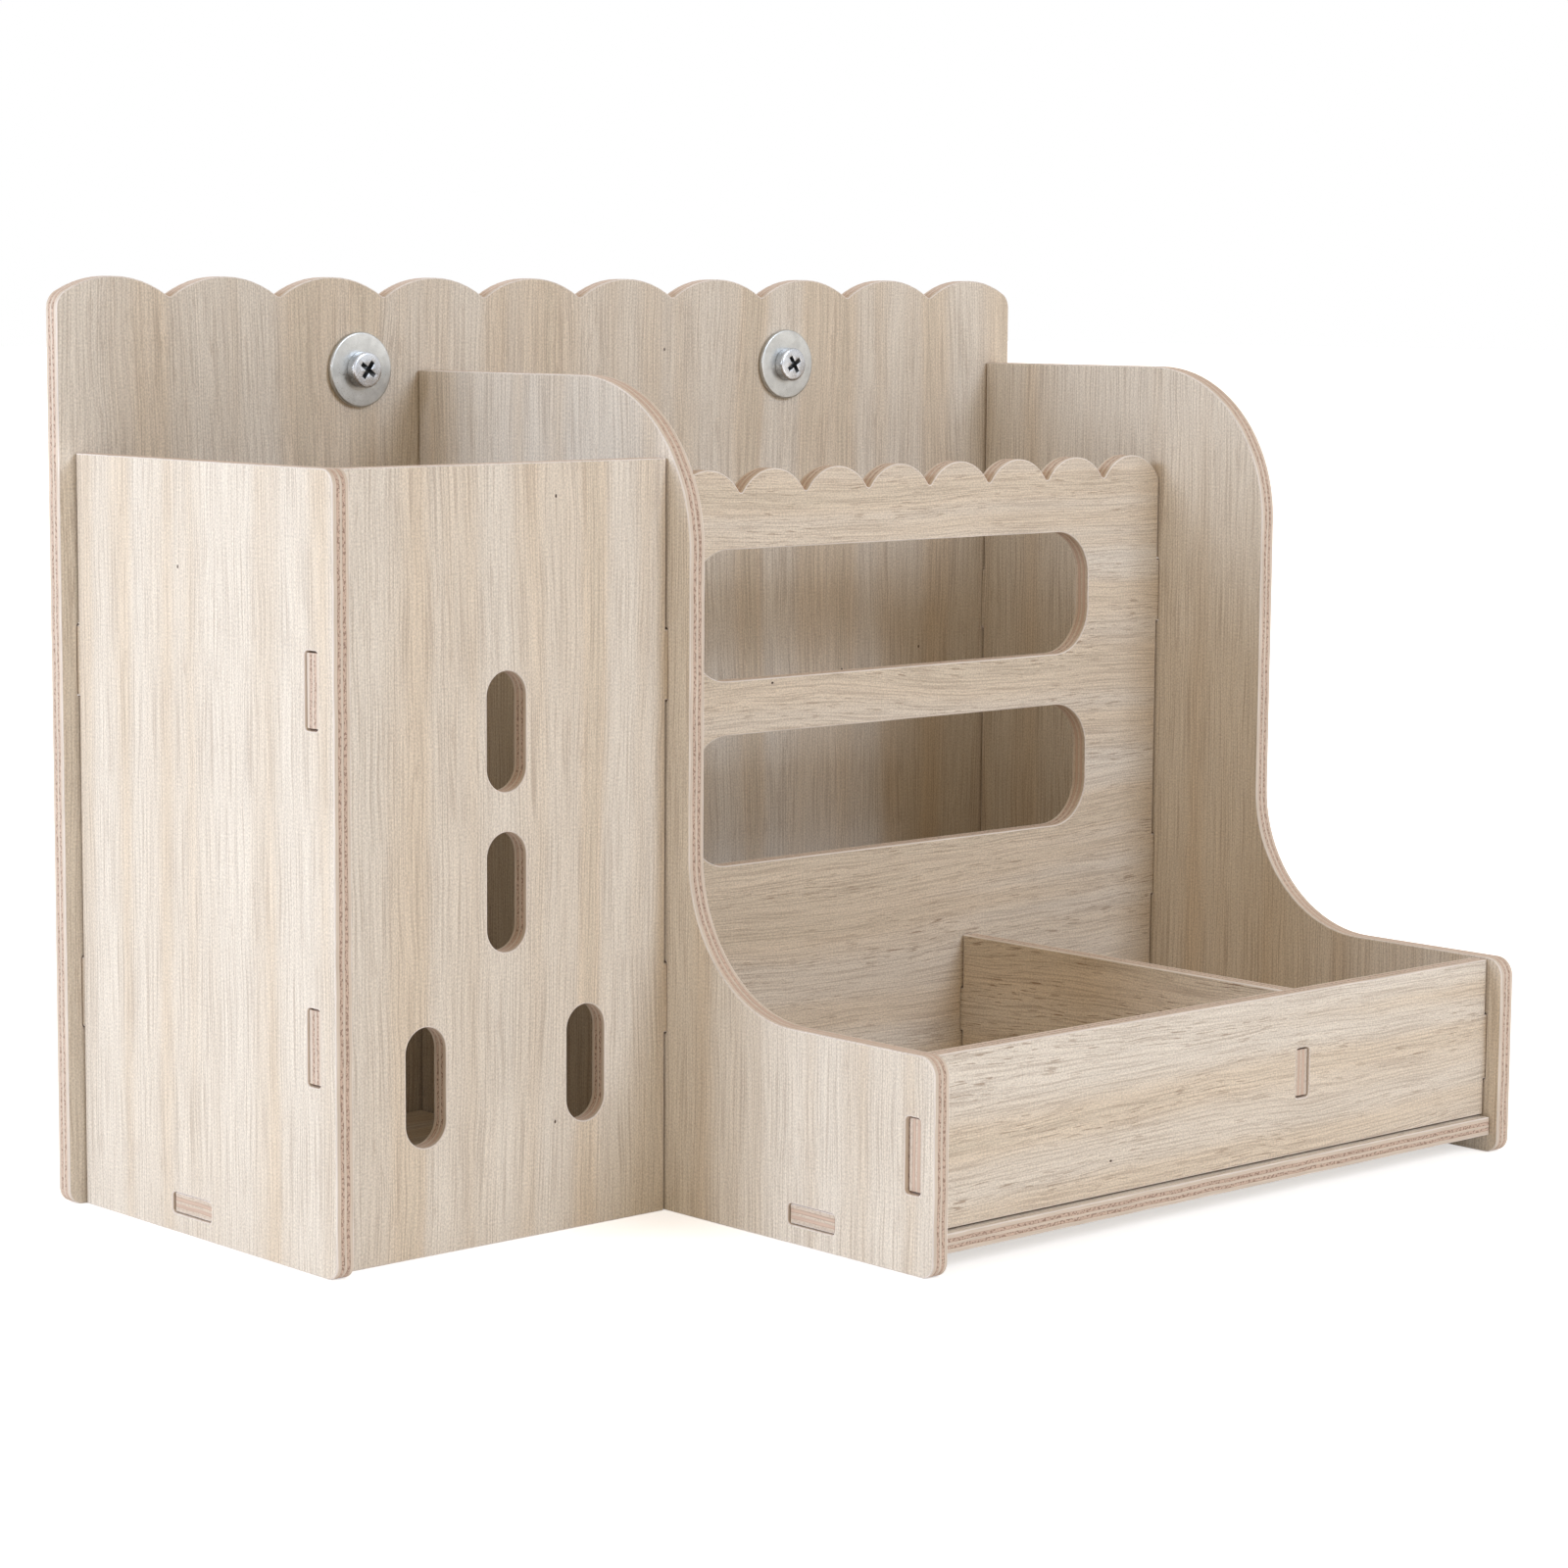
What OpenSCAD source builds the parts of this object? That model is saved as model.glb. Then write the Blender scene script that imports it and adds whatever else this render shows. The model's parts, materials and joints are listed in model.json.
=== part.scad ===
// Hay feeder box for small animals: slot-together boards with a closed hay box on the left,
// a hay rack with a food trough in front of it on the right, and two cage screws.
// +X runs to the right along the back panel, +Y to the back, +Z up.
// The origin is the middle of the footprint, on the surface that the feeder stands on.

/* [Boards] */
// Thickness of every board
board_t = 5; // [4:0.5:6]
// Play on each face of a tab in its slot
tab_play = 0.2; // [0.1:0.05:0.3]
// Radius that the cutter leaves in the corners of a slot
slot_corner_r = 1.2; // [0.6:0.1:1.5]
// How far a tab stops short of the face of the board that it passes through
tab_recess = 0.6; // [0.2:0.1:1]
// Gap at the shoulder where one board butts against another
shoulder_gap = 0.6; // [0.3:0.1:1]
// Height of the tabs on the upright boards
tab_h = 17.9; // [12:0.1:22]
// Width of the tabs on the floors
floor_tab_w = 15.8; // [10:0.1:22]
// Height of the floors' undersides above the ground
floor_lift = 5; // [3:0.5:8]
// Gap between a floor and the edge of a board that stands over it
floor_gap = 0.5; // [0.2:0.1:1]
// Radius of the outer corners of the boards
corner_r = 4; // [2:0.5:5]

/* [Back panel] */
// Width of the back panel
panel_w = 342; // [320:1:400]
// Height of the back panel to the top of its scallops
panel_h = 238; // [230:1:280]
// Number of scallops along the top
panel_scallops = 10; // [8:1:12]
// Drop from the top of a scallop to where two of them would cross
panel_scallop_drop = 5.4; // [4:0.1:8]
// Radius at the bottom of the notch between two scallops
panel_notch_r = 1.2; // [0.6:0.1:2]
// Radius of the panel's top corners
panel_corner_r = 5; // [3:0.5:8]
// How far the panel stands out past the outer sides
side_margin = 4.8; // [4:0.1:12]
// Height of the middle of the lower tabs
tab_low_z = 55.5; // [40:0.1:70]
// Height of the middle of the upper tabs
tab_high_z = 141; // [120:0.1:150]

/* [Hay box] */
// Clear width inside the box
box_w = 104; // [95:1:130]
// Distance from the back panel to the front face of the box
box_d = 103.1; // [90:0.1:120]
// Height of the left side
left_side_h = 193.5; // [185:0.1:205]
// Height of the box's front
box_front_h = 193.2; // [185:0.1:205]
// How far the left side stands out in front of the box's front
box_lip = 6.4; // [4:0.1:10]
// Width of a hay hole in the box's front
hole_w = 12.3; // [8:0.1:16]
// Height of a hay hole
hole_h = 29.9; // [20:0.1:34]
// Height of the middle of the top hole
top_hole_z = 127.6; // [120:0.1:140]
// Height of the middle of the centre hole
centre_hole_z = 87.8; // [80:0.1:92]
// Height of the middle of the two lower holes
low_hole_z = 42.1; // [36:0.1:48]
// Distance between the two lower holes
low_hole_spacing = 50.5; // [40:0.5:64]

/* [Curved sides] */
// Height of the curved sides
curved_h = 213.3; // [205:0.1:225]
// How far the upper part stands out in front of the hay box
upper_lip = 8.6; // [4:0.1:16]
// Depth of the whole side at the trough, from the back panel
toe_d = 200.7; // [185:0.1:225]
// Height of the side beside the trough
toe_h = 54.1; // [48:0.1:62]
// Radius of the round shoulder at the top front
crown_r = 43; // [25:0.5:50]
// Radius of the hollow sweep down to the trough
sweep_r = 38.5; // [20:0.5:50]
// Radius of the toe's top corner
toe_corner_r = 5; // [2:0.5:8]

/* [Hay rack] */
// Distance from the back panel to the front face of the rack
rack_d = 72.3; // [60:0.1:85]
// Height of the rack's front to the top of its scallops
rack_h = 187.8; // [180:0.1:196]
// Number of scallops along the rack's front
rack_scallops = 9; // [7:1:11]
// Drop from the top of a scallop to where two of them would cross
rack_scallop_drop = 7.1; // [4:0.1:8]
// Radius at the bottom of the notch between two scallops
rack_notch_r = 0.9; // [0.5:0.1:1.5]
// Height of the middle of the rack's lower tabs
rack_tab_low_z = 66.4; // [58:0.1:72]
// Height of the middle of the rack's upper tabs
rack_tab_high_z = 147.9; // [136:0.1:156]
// Length of the two long openings
opening_w = 153; // [120:1:180]
// Height of the two long openings
opening_h = 35.1; // [28:0.1:38]
// Corner radius of the two long openings
opening_r = 12.8; // [6:0.1:14]
// Height of the middle of the lower opening
low_opening_z = 99.1; // [94:0.1:104]
// Height of the middle of the upper opening
high_opening_z = 148.9; // [144:0.1:154]

/* [Trough] */
// How far the sides stand out in front of the trough's front
trough_lip = 4.8; // [3:0.1:10]
// Height of the trough's front
trough_h = 53.6; // [46:0.1:62]
// Height of the middle of the trough front's tabs
trough_tab_z = 29.3; // [25:0.1:33]
// How far the trough front's tabs stop short of the sides' outer faces
trough_tab_recess = 1.3; // [0.2:0.1:2]
// How far the floor stands out in front of the trough's front
floor_overhang = 2.4; // [0:0.1:3]
// Distance from the back panel to the middle of the floor's side tabs
floor_tab_d = 157.9; // [140:0.1:170]
// Distance from the back panel to the middle of the box floor's side tabs
box_floor_tab_d = 48.5; // [36:0.1:60]
// Clear width of the trough's left bay
left_bay_w = 133.3; // [80:0.1:160]
// Height of the divider
divider_h = 53.4; // [46:0.1:62]
// Height of the divider's tabs
divider_tab_h = 12.2; // [8:0.1:16]

/* [Cage screws] */
// Distance from the middle side to the left screw; the right screw stands opposite
screw_inset = 20; // [16:0.5:26]
// Distance of the screws below the top of the panel
screw_drop = 24.4; // [20:0.1:28]
// Diameter of the screws
screw_d = 5; // [4:0.5:6]
// Length of a screw under its head
screw_len = 25; // [22:1:35]
// Diameter of a screw's head
head_d = 9.6; // [8.5:0.1:12]
// Height of a screw's head
head_h = 3; // [2.8:0.1:4]
// Radius of the rounded edge of a head
head_round = 0.8; // [0.3:0.1:1]
// Diameter of the washers
washer_d = 20; // [16:0.5:26]
// Thickness of the washers
washer_t = 1.6; // [1:0.1:2]
// Play round a screw in its hole in the panel and in the front washer
screw_play = 0.25; // [0.2:0.05:0.5]
// Running play between a screw and the parts that move along it
thread_play = 0.06; // [0.04:0.01:0.09]
// Tip to tip width of a wing nut
wing_span = 25; // [22:0.5:30]
// Height of a wing nut over its wings
wing_h = 12; // [10:0.5:13]
// Diameter of a wing nut's hub where it meets the washer
hub_d = 10.5; // [9.5:0.5:14]
// Height of a wing nut's hub
hub_h = 6; // [4:0.5:8]
// Thickness of a wing
wing_t = 2.2; // [1.5:0.1:3]

/* [Hidden] */
$fn = 96;
overlap = 1;

// Places across the width, each the left face of what it names
panel_x = -panel_w / 2;
left_side_x = panel_x + side_margin;
middle_side_x = left_side_x + board_t + box_w;
right_side_x = -panel_x - side_margin - board_t;
box_x = left_side_x + board_t;
rack_x = middle_side_x + board_t;
rack_w = right_side_x - rack_x;
divider_x = rack_x + left_bay_w;
screw_x = screw_inset - middle_side_x;

// Places in depth: the front face of the back panel, then what stands in front of it
screw_reach = screw_len - washer_t;
panel_y = (toe_d - screw_reach) / 2;
side_back_y = panel_y - shoulder_gap;
box_front_y = panel_y - box_d;
left_front_y = box_front_y - box_lip;
rack_y = panel_y - rack_d;
upper_y = box_front_y - upper_lip;
toe_y = panel_y - toe_d;
trough_y = toe_y + trough_lip;
floor_front_y = trough_y - floor_overhang;
floor_tab_y = panel_y - floor_tab_d;
box_floor_tab_y = panel_y - box_floor_tab_d;
rear_washer_y = panel_y + board_t;
nut_y = rear_washer_y + washer_t;

// Where the tabs end
tab_back_y = panel_y + board_t - tab_recess;
left_tab_x = left_side_x + tab_recess;
middle_tab_x = [middle_side_x + tab_recess, middle_side_x + board_t - tab_recess];
right_tab_x = right_side_x + board_t - tab_recess;
trough_tab_x = [middle_side_x + trough_tab_recess, right_side_x + board_t - trough_tab_recess];

// A slot is longer than its tab, so that the tab's square corners clear the slot's round ones
corner_clearance = 0.05;
slot_end_play = slot_corner_r - sqrt(tab_play * (2 * slot_corner_r - tab_play)) + corner_clearance;

// Heights
screw_z = panel_h - screw_drop;
floor_top_z = floor_lift + board_t;
over_floor_z = floor_top_z + floor_gap;
divider_tab_z = (over_floor_z + divider_h) / 2;

// The rear edge of the long floor has two tabs that share out its width
rear_tab_x = [for (share = [0.25, 0.75]) rack_x + share * rack_w];
side_tab_z = [tab_low_z, tab_high_z];
rack_tab_z = [rack_tab_low_z, rack_tab_high_z];
opening_z = [low_opening_z, high_opening_z];
side_x = [left_side_x, middle_side_x, right_side_x];
hole_places = [
    [0, top_hole_z],
    [0, centre_hole_z],
    [-low_hole_spacing / 2, low_hole_z],
    [low_hole_spacing / 2, low_hole_z]
];

// Shape of a wing nut: how much its hub narrows, and the radius of a wing's round ear
hub_taper = 2;
ear_r = 0.32 * wing_h;

// The cross recess of a screw's head
recess_w = 0.9;
recess_span = 5;
recess_depth = 1.5;
recess_cone_d = 2.6;
left_recess_turn = 37;
right_recess_turn = 58;

wood = [0.83, 0.77, 0.70];
zinc = [0.76, 0.77, 0.79];

// Sets an outline drawn in x and z upright, with its front face at y
module facing_board(y) {
    color(wood)
        translate([0, y + board_t, 0])
            rotate([90, 0, 0])
                linear_extrude(board_t) children();
}

// Sets an outline drawn in y and z upright, with its left face at x
module side_board(x) {
    color(wood)
        translate([x, 0, 0])
            rotate([90, 0, 90])
                linear_extrude(board_t) children();
}

// Lays an outline drawn in x and y flat, on the level of the floors
module floor_board() {
    color(wood)
        translate([0, 0, floor_lift])
            linear_extrude(board_t) children();
}

// A rectangle from corner a to corner b
module area(a, b) {
    translate(a) square(b - a);
}

// A rectangle from corner a to corner b with round corners
module rounded_area(a, b, r) {
    area([a.x + r, a.y], [b.x - r, b.y]);
    area([a.x, a.y + r], [b.x, b.y - r]);
    for (x = [a.x + r, b.x - r], y = [a.y + r, b.y - r])
        translate([x, y]) circle(r);
}

// An upright hole with half-round ends, round the middle at
module hay_hole(at) {
    straight = hole_h - hole_w;
    translate(at) square([hole_w, straight], center = true);
    for (end = [-1, 1])
        translate(at + [0, end * straight / 2]) circle(d = hole_w);
}

// A slot round the middle at, of the given size, with the cutter's round corners
module slot(at, size) {
    rounded_area(at - size / 2, at + size / 2, slot_corner_r);
}

// Slots for upright boards that cross at place u, one at each height
module upright_slots(u, heights, h = tab_h) {
    for (z = heights)
        slot([u + board_t / 2, z], [board_t + 2 * tab_play, h + 2 * slot_end_play]);
}

// Slots for a floor's tabs, one at each place along the board
module floor_slots(places) {
    for (u = places)
        slot([u, floor_lift + board_t / 2],
             [floor_tab_w + 2 * slot_end_play, board_t + 2 * tab_play]);
}

// Tabs at both ends of an upright board, drawn as bars right across it
module tab_bars(u0, u1, heights, h = tab_h) {
    for (z = heights)
        area([u0, z - h / 2], [u1, z + h / 2]);
}

// An upright board with a scalloped top edge, from x to x + w and from z to top
module scalloped_outline(x, w, z, top, count, drop, notch_r, top_corner_r, foot_r) {
    half = w / count / 2;
    arc_r = (half * half + drop * drop) / (2 * drop);
    arc_z = top - arc_r;
    notch_z = arc_z + sqrt(pow(arc_r + notch_r, 2) - half * half);
    lean = half - top_corner_r;
    corner_z = arc_z + sqrt(pow(arc_r - top_corner_r, 2) - lean * lean);
    end_x = half - lean * arc_r / (arc_r - top_corner_r);
    translate([x, 0]) {
        area([0, z + foot_r], [w, corner_z]);
        if (foot_r > 0) {
            area([foot_r, z], [w - foot_r, z + foot_r + overlap]);
            for (u = [foot_r, w - foot_r])
                translate([u, z + foot_r]) circle(foot_r);
        }
        for (u = [top_corner_r, w - top_corner_r])
            translate([u, corner_z]) circle(top_corner_r);
        for (k = [0 : count - 1])
            intersection() {
                translate([half * (2 * k + 1), arc_z]) circle(arc_r);
                area([k == 0 ? end_x : 2 * half * k, corner_z - overlap],
                     [k == count - 1 ? w - end_x : 2 * half * (k + 1), top + overlap]);
            }
        for (k = [1 : count - 1])
            translate([2 * half * k, 0]) difference() {
                polygon([[-half, arc_z], [half, arc_z], [0, notch_z]]);
                translate([0, notch_z]) circle(notch_r);
            }
    }
}

module back_panel() {
    facing_board_with_screw_holes() difference() {
        scalloped_outline(panel_x, panel_w, 0, panel_h, panel_scallops, panel_scallop_drop,
                          panel_notch_r, panel_corner_r, corner_r);
        for (x = side_x) upright_slots(x, side_tab_z);
        floor_slots(rear_tab_x);
    }
}

// The back panel's board, drilled for the two cage screws
module facing_board_with_screw_holes() {
    difference() {
        facing_board(panel_y) children();
        for (side = [-1, 1])
            along_screw(side, panel_y - overlap)
                cylinder(d = screw_d + 2 * screw_play, h = board_t + 2 * overlap);
    }
}

module left_side() {
    side_board(left_side_x) difference() {
        union() {
            area([left_front_y + corner_r, 0], [side_back_y, left_side_h]);
            area([left_front_y, corner_r], [side_back_y, left_side_h - corner_r]);
            for (z = [corner_r, left_side_h - corner_r])
                translate([left_front_y + corner_r, z]) circle(corner_r);
            tab_bars(side_back_y - overlap, tab_back_y, side_tab_z);
        }
        upright_slots(box_front_y, side_tab_z);
        floor_slots([box_floor_tab_y]);
    }
}

// The outline that the middle side and the right side share
module curved_outline() {
    difference() {
        union() {
            area([upper_y + crown_r, 0], [side_back_y, curved_h]);
            area([upper_y, 0], [side_back_y, curved_h - crown_r]);
            translate([upper_y + crown_r, curved_h - crown_r]) circle(crown_r);
            area([toe_y, corner_r], [side_back_y, toe_h - toe_corner_r]);
            area([toe_y + corner_r, 0], [side_back_y, toe_h - toe_corner_r]);
            area([toe_y + toe_corner_r, corner_r], [side_back_y, toe_h]);
            area([upper_y - sweep_r, corner_r], [upper_y + overlap, toe_h + sweep_r]);
            translate([toe_y + toe_corner_r, toe_h - toe_corner_r]) circle(toe_corner_r);
            translate([toe_y + corner_r, corner_r]) circle(corner_r);
            tab_bars(side_back_y - overlap, tab_back_y, side_tab_z);
        }
        translate([upper_y - sweep_r, toe_h + sweep_r]) circle(sweep_r);
    }
}

// What the middle side and the right side both take from the rack and the trough
module rack_slots() {
    upright_slots(rack_y, rack_tab_z);
    upright_slots(trough_y, [trough_tab_z]);
    floor_slots([floor_tab_y]);
}

module middle_side() {
    side_board(middle_side_x) difference() {
        curved_outline();
        rack_slots();
        upright_slots(box_front_y, side_tab_z);
        floor_slots([box_floor_tab_y]);
    }
}

module right_side() {
    side_board(right_side_x) difference() {
        curved_outline();
        rack_slots();
    }
}

module box_front() {
    facing_board(box_front_y) difference() {
        union() {
            area([box_x + shoulder_gap, 0], [middle_side_x - shoulder_gap, box_front_h]);
            tab_bars(left_tab_x, middle_tab_x[1], side_tab_z);
        }
        translate([box_x + box_w / 2, 0])
            for (at = hole_places) hay_hole(at);
    }
}

module box_floor() {
    floor_board() {
        area([box_x + shoulder_gap, box_front_y + board_t + shoulder_gap],
             [middle_side_x - shoulder_gap, side_back_y]);
        area([left_tab_x, box_floor_tab_y - floor_tab_w / 2],
             [middle_tab_x[1], box_floor_tab_y + floor_tab_w / 2]);
    }
}

module rack_front() {
    middle = rack_x + rack_w / 2;
    facing_board(rack_y) difference() {
        union() {
            scalloped_outline(rack_x + shoulder_gap, rack_w - 2 * shoulder_gap, over_floor_z, rack_h,
                              rack_scallops, rack_scallop_drop, rack_notch_r, corner_r, 0);
            tab_bars(middle_tab_x[0], right_tab_x, rack_tab_z);
        }
        for (z = opening_z)
            rounded_area([middle - opening_w / 2, z - opening_h / 2],
                         [middle + opening_w / 2, z + opening_h / 2], opening_r);
        upright_slots(divider_x, [divider_tab_z], divider_tab_h);
    }
}

module rack_floor() {
    floor_board() {
        area([rack_x + shoulder_gap, floor_front_y], [right_side_x - shoulder_gap, side_back_y]);
        area([middle_tab_x[0], floor_tab_y - floor_tab_w / 2],
             [right_tab_x, floor_tab_y + floor_tab_w / 2]);
        for (x = rear_tab_x)
            area([x - floor_tab_w / 2, side_back_y - overlap], [x + floor_tab_w / 2, tab_back_y]);
    }
}

module trough_front() {
    facing_board(trough_y) difference() {
        union() {
            area([rack_x + shoulder_gap, over_floor_z], [right_side_x - shoulder_gap, trough_h]);
            tab_bars(trough_tab_x[0], trough_tab_x[1], [trough_tab_z]);
        }
        upright_slots(divider_x, [divider_tab_z], divider_tab_h);
    }
}

module trough_divider() {
    side_board(divider_x) {
        area([trough_y + board_t + shoulder_gap, over_floor_z], [rack_y - shoulder_gap, divider_h]);
        tab_bars(trough_y + tab_recess, rack_y + board_t - tab_recess, [divider_tab_z],
                 divider_tab_h);
    }
}

// Puts a shape drawn along +Z on the axis of the left (-1) or right (1) screw, from y to the back
module along_screw(side, y) {
    translate([side * screw_x, y, screw_z])
        rotate([-90, 0, 0]) children();
}

module washer(side, y, play) {
    color(zinc)
        along_screw(side, y) difference() {
            cylinder(d = washer_d, h = washer_t);
            translate([0, 0, -overlap])
                cylinder(d = screw_d + 2 * play, h = washer_t + 2 * overlap);
        }
}

// A screw with a cheese head and a cross recess, turned as the photographed one is
module screw(side, turn) {
    color(zinc)
        along_screw(side, panel_y - washer_t) {
            cylinder(d = screw_d, h = screw_len);
            difference() {
                rotate_extrude() {
                    area([0, -head_h], [head_d / 2 - head_round, 0]);
                    area([0, head_round - head_h], [head_d / 2, 0]);
                    translate([head_d / 2 - head_round, head_round - head_h]) circle(head_round);
                }
                translate([0, 0, -head_h]) rotate(turn) {
                    for (quarter = [0, 90])
                        rotate(quarter)
                            translate([-recess_span / 2, -recess_w / 2, -overlap])
                                cube([recess_span, recess_w, recess_depth + overlap]);
                    cylinder(d1 = recess_cone_d, d2 = recess_w, h = recess_depth);
                }
            }
        }
}

// One wing: a neck that rises from the hub and ends in a round ear
module wing() {
    rotate([90, 0, 0])
        translate([0, 0, -wing_t / 2])
            linear_extrude(wing_t) {
                polygon([[screw_d / 2 + overlap, overlap], [hub_d / 2, overlap],
                         [wing_span / 2, wing_h - ear_r], [wing_span / 2 - 2 * ear_r, wing_h - ear_r],
                         [screw_d / 2 + overlap, hub_h - overlap]]);
                translate([wing_span / 2 - ear_r, wing_h - ear_r]) circle(ear_r);
            }
}

module wing_nut(side) {
    color(zinc)
        along_screw(side, nut_y) difference() {
            union() {
                cylinder(d1 = hub_d, d2 = hub_d - hub_taper, h = hub_h);
                for (quarter = [0, 180])
                    rotate(quarter) wing();
            }
            translate([0, 0, -overlap])
                cylinder(d = screw_d + 2 * thread_play, h = hub_h + 2 * overlap);
        }
}

module left_screw() { screw(-1, left_recess_turn); }
module right_screw() { screw(1, right_recess_turn); }
module left_front_washer() { washer(-1, panel_y - washer_t, screw_play); }
module right_front_washer() { washer(1, panel_y - washer_t, screw_play); }
module left_rear_washer() { washer(-1, rear_washer_y, thread_play); }
module right_rear_washer() { washer(1, rear_washer_y, thread_play); }
module left_wing_nut() { wing_nut(-1); }
module right_wing_nut() { wing_nut(1); }

back_panel();
left_side();
middle_side();
right_side();
box_front();
box_floor();
rack_front();
rack_floor();
trough_front();
trough_divider();
left_screw();
right_screw();
left_front_washer();
right_front_washer();
left_rear_washer();
right_rear_washer();
left_wing_nut();
right_wing_nut();
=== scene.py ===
"""Looks for a slot-together hay feeder box: plywood boards and the screws that clamp it to a cage.

The boards are drawn again from the fixed frame's own outlines, with eased edges and wood grain.
"""

import json
import math

import bmesh
import bpy
from bpy.props import FloatProperty, FloatVectorProperty, IntProperty, PointerProperty
from mathutils import Matrix, Vector
from mathutils.geometry import tessellate_polygon


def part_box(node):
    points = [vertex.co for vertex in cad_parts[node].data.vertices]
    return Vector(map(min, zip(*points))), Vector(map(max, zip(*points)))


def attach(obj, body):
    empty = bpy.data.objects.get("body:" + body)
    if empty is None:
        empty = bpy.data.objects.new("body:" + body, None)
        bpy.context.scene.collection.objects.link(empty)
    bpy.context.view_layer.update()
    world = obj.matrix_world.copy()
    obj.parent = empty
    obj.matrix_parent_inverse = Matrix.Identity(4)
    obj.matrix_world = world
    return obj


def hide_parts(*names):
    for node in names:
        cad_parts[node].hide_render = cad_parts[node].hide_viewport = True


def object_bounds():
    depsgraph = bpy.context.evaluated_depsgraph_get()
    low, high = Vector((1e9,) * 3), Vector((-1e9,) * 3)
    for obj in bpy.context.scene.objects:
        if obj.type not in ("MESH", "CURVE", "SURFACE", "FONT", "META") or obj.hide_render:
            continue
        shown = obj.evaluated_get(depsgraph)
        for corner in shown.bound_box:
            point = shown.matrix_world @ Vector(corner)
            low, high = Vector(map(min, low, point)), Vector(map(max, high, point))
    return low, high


bl_info = {
    "name": "Hay feeder box",
    "version": (1, 0, 0),
    "blender": (4, 5, 0),
    "location": "View3D > Sidebar > Hay feeder",
    "description": "Plywood boards, cage screws, washers and wing nuts of a hay feeder",
    "category": "Object",
}

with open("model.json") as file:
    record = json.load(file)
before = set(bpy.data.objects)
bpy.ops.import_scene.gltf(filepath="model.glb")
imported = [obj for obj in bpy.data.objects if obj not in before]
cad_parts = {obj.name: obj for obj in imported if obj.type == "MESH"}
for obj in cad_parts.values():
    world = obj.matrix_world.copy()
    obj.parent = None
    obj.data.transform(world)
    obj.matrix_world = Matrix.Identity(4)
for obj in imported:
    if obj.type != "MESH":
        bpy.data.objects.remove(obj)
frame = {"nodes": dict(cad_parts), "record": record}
CAD_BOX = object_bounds()

MM = 0.001
WELD = 1e-6
X, Y, Z = range(3)

# For each board: the axis through its thickness, the axis that its face grain runs along, and how
# lively its figure is, from plain pale streaks at -0.5 to wavy warm ones with dark pores at 1
BOARDS = {
    "back_panel": (Y, Z, 0.35),
    # The left and middle sides' low figures also paint light: the left side's makes its key-lit face paler
    # and cooler, the middle side's lightens its shaded upper face
    "left_side": (X, Z, -0.3),
    "middle_side": (X, Z, -0.5),
    "right_side": (X, Z, -0.3),
    "box_front": (Y, Z, 0.1),
    "box_floor": (Z, X, 0.6),
    "rack_front": (Y, X, 0.7),
    "rack_floor": (Z, X, 0.8),
    "trough_front": (Y, X, 0.65),
    "trough_divider": (X, Y, 1.0),
}
# How far each board's pattern lies from the last one's on the sheet, across and along the grain
SHEET_STEP = Vector((431, 977, 0))
# Each zinc finish: its light and its dark shade, and its roughness
ZINC_FINISHES = {
    "zinc_plated_steel_screw": ("#D0D1D4", "#BCBEC2", 0.26),
    # The recess's darker grey is painted shade in the cross recess, not a finish of its own
    "zinc_plated_steel_recess": ("#77787A", "#5E5F61", 0.5),
    "zinc_plated_steel_washer": ("#C8C8C5", "#B8B8B5", 0.33),
    "zinc_plated_casting": ("#CFD0D3", "#B9BBBF", 0.34),
}
# Each lamp: its place and its width in metres, and the stage's names for its power and its tint
LAMPS = {
    "key_softbox": ((-1.38, 0.26, 0.50), 0.45, "key_power", "key_tint"),
    "front_softbox": ((0.40, -1.34, 0.86), 0.6, "front_power", "front_tint"),
    "back_softbox": ((0.55, 1.35, 0.75), 0.7, "back_power", "key_tint"),
}
LAMP_TARGET = Vector((0, 0, 0.11))
# The camera, as fitted to the photograph's straight edges: its place in metres, its yaw, pitch and
# roll in degrees, and its sideways shift as a share of the frame, because the photograph is cropped
CAMERA_PLACE = Vector((-0.7157, -0.7715, 0.2361))
CAMERA_TURN = (41.58, -7.13, 0.27)
CAMERA_SHIFT = 0.05
SENSOR_MM = 36


def linear(hex_code):
    """The linear RGBA colour of an sRGB hex value such as #D8CFC4."""
    channels = [int(hex_code[i:i + 2], 16) / 255 for i in (1, 3, 5)]
    return tuple(c / 12.92 if c <= 0.04045 else ((c + 0.055) / 1.055) ** 2.4 for c in channels) + (1,)


def rgba(colour):
    """The RGBA colour of an sRGB hex value or of a colour property, which is linear already."""
    return linear(colour) if isinstance(colour, str) else (*colour, 1)


def add(tree, kind, inputs=None, stops=None, **settings):
    """Adds a node with its settings, links or values for its inputs, and a ramp's grey or colour stops."""
    made = tree.nodes.new(kind)
    for name, value in settings.items():
        setattr(made, name, value)
    for key, value in (inputs or {}).items():
        if isinstance(value, bpy.types.NodeSocket):
            tree.links.new(value, made.inputs[key])
        else:
            made.inputs[key].default_value = value
    if stops:
        ramp = made.color_ramp.elements
        while len(ramp) < len(stops):
            ramp.new(1)
        for element, (place, shade) in zip(ramp, stops):
            element.position = place
            element.color = (shade, shade, shade, 1) if isinstance(shade, (int, float)) else rgba(shade)
    return made


def new_material(name):
    """A node material and its node tree, still empty."""
    material = bpy.data.materials.new(name)
    material.use_nodes = True
    material.node_tree.nodes.clear()
    return material, material.node_tree


def calc(tree, operation, *values):
    """What a maths node makes of sockets or numbers."""
    return add(tree, "ShaderNodeMath", dict(enumerate(values)), operation=operation).outputs[0]


def faded(tree, value, start, end, low=0, high=1):
    """A value taken from between start and end to between low and high, and held at the ends."""
    return add(tree, "ShaderNodeMapRange", {"Value": value, "From Min": start, "From Max": end,
                                            "To Min": low, "To Max": high}).outputs[0]


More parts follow.
